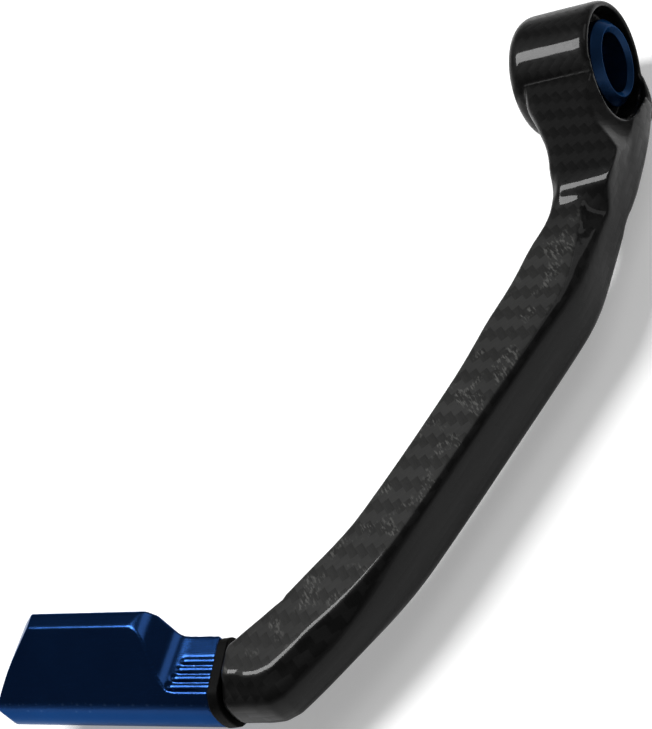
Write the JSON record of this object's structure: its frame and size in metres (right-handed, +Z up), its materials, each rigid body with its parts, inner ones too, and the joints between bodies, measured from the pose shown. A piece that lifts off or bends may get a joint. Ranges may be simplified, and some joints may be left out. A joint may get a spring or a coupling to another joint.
{
  "type": "brake lever guard",
  "caption": "Carved carbon arm that bolts to a handlebar end and carries a metal tip in front of the lever, to keep the lever from being knocked.",
  "frame": {"origin": "on the bore axis, at the sleeve's inboard end face, which meets the bar end", "axes": "+X inboard along the bore axis, +Y forward towards the lever side, +Z up"},
  "size_m": [0.1146, 0.1533, 0.025],
  "materials": {
    "carbon": "clear-coated twill carbon, near black",
    "sleeve_metal": "deep blue anodised, turned",
    "gasket": "black, matt",
    "tip_metal": "deep blue anodised, milled"
  },
  "bodies": {
    "root": {"guard_arm": "carbon", "boss_sleeve": "sleeve_metal", "joint_gasket": "gasket", "end_tip": "tip_metal"}
  },
  "joints": []
}
